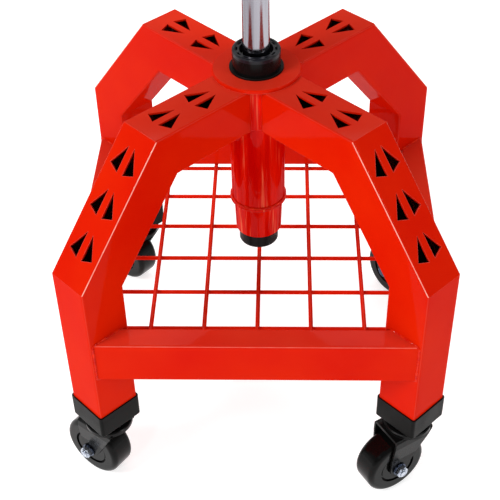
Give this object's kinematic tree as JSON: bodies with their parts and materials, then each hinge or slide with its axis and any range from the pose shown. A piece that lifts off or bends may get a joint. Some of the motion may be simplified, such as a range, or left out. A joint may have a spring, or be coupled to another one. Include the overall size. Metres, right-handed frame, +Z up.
{
  "type": "creeper seat",
  "caption": "Rolling mechanic's creeper seat: box-tube leg base with a wire tool tray, swivel casters, gas lift column and round padded seat.",
  "frame": {"origin": "on the floor, on the axis of the gas lift column, midway between the four casters", "axes": "+Z up along the column; -Y is the front; +X is the side the height lever points to at rest"},
  "size_m": [0.4346, 0.4238, 0.7161],
  "materials": {
    "red_enamel": "gloss red enamel",
    "black_paint": "semi-gloss black",
    "black_plastic": "satin moulded",
    "wheel_black": "hard moulded, polished",
    "zinc": "bright zinc plate",
    "steel": "ground",
    "chrome": "hard chrome, fine drawn",
    "seal_rubber": "oiled",
    "plywood": "raw birch plywood",
    "black_vinyl": "grained vinyl"
  },
  "bodies": {
    "base": {"hub_cover_disc": "red_enamel", "column_socket_sleeve": "red_enamel", "column_taper_tube": "red_enamel", "socket_weld_ring": "red_enamel", "tray_long_wires": "red_enamel", "tray_cross_wires": "red_enamel", "caster_kingpins": "zinc", "caster_kingpin_nuts": "zinc", "caster_top_races": "black_paint", "caster_race_balls": "steel", "lift_outer_tube": "black_paint", "lift_guide_bush": "black_plastic", "lift_trim_ring": "black_plastic", "lift_thrust_washer_lower": "steel", "leg_front_left": "red_enamel", "leg_front_right": "red_enamel", "leg_rear_right": "red_enamel", "leg_rear_left": "red_enamel", "rail_front": "red_enamel", "rail_right": "red_enamel", "rail_rear": "red_enamel", "rail_left": "red_enamel", "caster_cup_front_left": "black_plastic", "caster_cup_front_right": "black_plastic", "caster_cup_rear_right": "black_plastic", "caster_cup_rear_left": "black_plastic"},
    "lift_rod": {"lift_piston_rod": "steel", "lift_piston": "seal_rubber", "lift_thrust_washer_upper": "steel", "lift_retaining_clip": "zinc"},
    "seat": {"lift_chrome_cylinder": "chrome", "lift_rod_gland": "seal_rubber", "seat_plate": "black_paint", "seat_taper_socket": "black_paint", "lever_pivot_pin": "zinc", "seat_board": "plywood", "seat_cushion": "black_vinyl", "seat_piping": "black_vinyl", "seat_bolts": "zinc", "seat_tee_nuts": "zinc"},
    "valve_button": {"lift_valve_button": "steel"},
    "lever": {"height_lever": "steel", "lever_grip": "black_plastic"},
    "fork_front_left": {"caster_fork_front_left": "black_paint", "caster_axle_bolt_front_left": "zinc"},
    "wheel_front_left": {"caster_wheel_hub_front_left": "wheel_black", "caster_wheel_tyre_front_left": "wheel_black"},
    "fork_front_right": {"caster_fork_front_right": "black_paint", "caster_axle_bolt_front_right": "zinc"},
    "wheel_front_right": {"caster_wheel_hub_front_right": "wheel_black", "caster_wheel_tyre_front_right": "wheel_black"},
    "fork_rear_right": {"caster_fork_rear_right": "black_paint", "caster_axle_bolt_rear_right": "zinc"},
    "wheel_rear_right": {"caster_wheel_hub_rear_right": "wheel_black", "caster_wheel_tyre_rear_right": "wheel_black"},
    "fork_rear_left": {"caster_fork_rear_left": "black_paint", "caster_axle_bolt_rear_left": "zinc"},
    "wheel_rear_left": {"caster_wheel_hub_rear_left": "wheel_black", "caster_wheel_tyre_rear_left": "wheel_black"}
  },
  "joints": [
    {"name": "seat_swivel", "type": "hinge", "parent": "base", "child": "lift_rod", "pos_m": [0, 0, 0.441], "axis": [0, 0, 1], "continuous": true},
    {"name": "seat_lift", "type": "slide", "parent": "lift_rod", "child": "seat", "axis": [0, 0, 1], "range_m": [-0.11, 0], "stiffness_N_per_m": 400, "springref_m": 0.35},
    {"name": "height_lever", "type": "hinge", "parent": "seat", "child": "lever", "pos_m": [0.024, 0, 0.637], "axis": [0, -1, 0], "range_deg": [0, 8], "stiffness_Nm_per_rad": 1.5, "springref_deg": -11.46},
    {"name": "valve_press", "type": "slide", "parent": "seat", "child": "valve_button", "axis": [0, 0, -1], "range_m": [0, 0.0035]},
    {"name": "caster_swivel_front_left", "type": "hinge", "parent": "base", "child": "fork_front_left", "pos_m": [-0.1673, -0.1673, 0.091], "axis": [0, 0, 1], "continuous": true},
    {"name": "wheel_spin_front_left", "type": "hinge", "parent": "fork_front_left", "child": "wheel_front_left", "pos_m": [-0.1844, -0.15511, 0.0375], "axis": [-0.5807, -0.8141, 0], "continuous": true},
    {"name": "caster_swivel_front_right", "type": "hinge", "parent": "base", "child": "fork_front_right", "pos_m": [0.1673, -0.1673, 0.091], "axis": [0, 0, 1], "continuous": true},
    {"name": "wheel_spin_front_right", "type": "hinge", "parent": "fork_front_right", "child": "wheel_front_right", "pos_m": [0.14959, -0.17858, 0.0375], "axis": [0.5373, -0.8434, 0], "continuous": true},
    {"name": "caster_swivel_rear_right", "type": "hinge", "parent": "base", "child": "fork_rear_right", "pos_m": [0.1673, 0.1673, 0.091], "axis": [0, 0, 1], "continuous": true},
    {"name": "wheel_spin_rear_right", "type": "hinge", "parent": "fork_rear_right", "child": "wheel_rear_right", "pos_m": [0.18023, 0.15075, 0.0375], "axis": [0.788, 0.6157, 0], "continuous": true},
    {"name": "caster_swivel_rear_left", "type": "hinge", "parent": "base", "child": "fork_rear_left", "pos_m": [-0.1673, 0.1673, 0.091], "axis": [0, 0, 1], "continuous": true},
    {"name": "wheel_spin_rear_left", "type": "hinge", "parent": "fork_rear_left", "child": "wheel_rear_left", "pos_m": [-0.18339, 0.1808, 0.0375], "axis": [-0.6428, -0.766, 0], "continuous": true}
  ],
  "couplings": [
    {"joint": "valve_press", "follows": "height_lever", "m_per_rad": 0.024}
  ]
}
